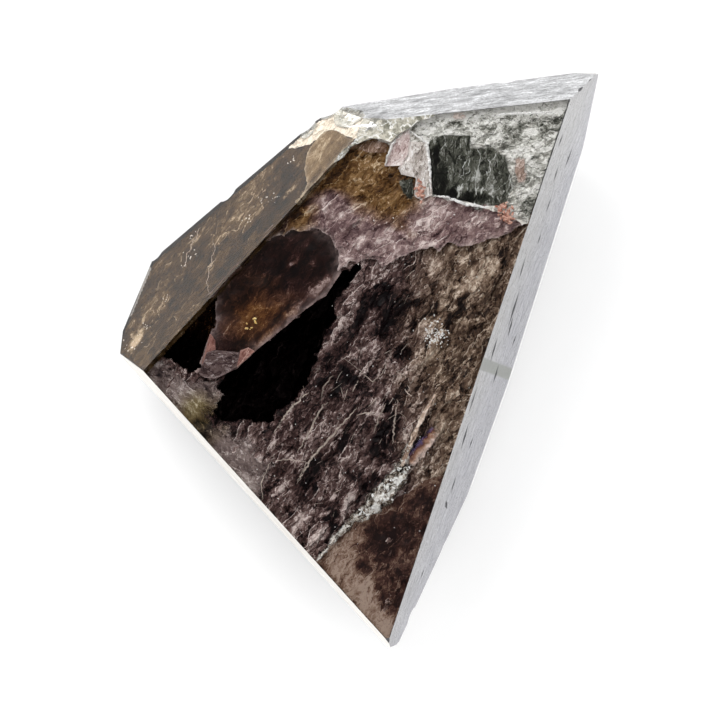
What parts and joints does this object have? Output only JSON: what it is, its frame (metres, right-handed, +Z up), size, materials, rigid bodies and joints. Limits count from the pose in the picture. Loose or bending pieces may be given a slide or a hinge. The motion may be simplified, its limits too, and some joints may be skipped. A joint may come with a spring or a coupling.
{
  "type": "polished quartz point",
  "caption": "Polished quartz point with flat facets, full of dark, purple and golden inclusions, lying on its flat back.",
  "frame": {"origin": "centre of the stone's length and width, on the table under its flat back", "axes": "+Z up through the large polished face, the tip towards -Y, +Y along the stone's longest extent"},
  "size_m": [0.0592, 0.0708, 0.027],
  "materials": {
    "quartz": "polished",
    "inclusions": "satin",
    "veils": "satin",
    "flecks": "gloss"
  },
  "bodies": {
    "root": {"quartz_point": "quartz"}
  },
  "joints": []
}
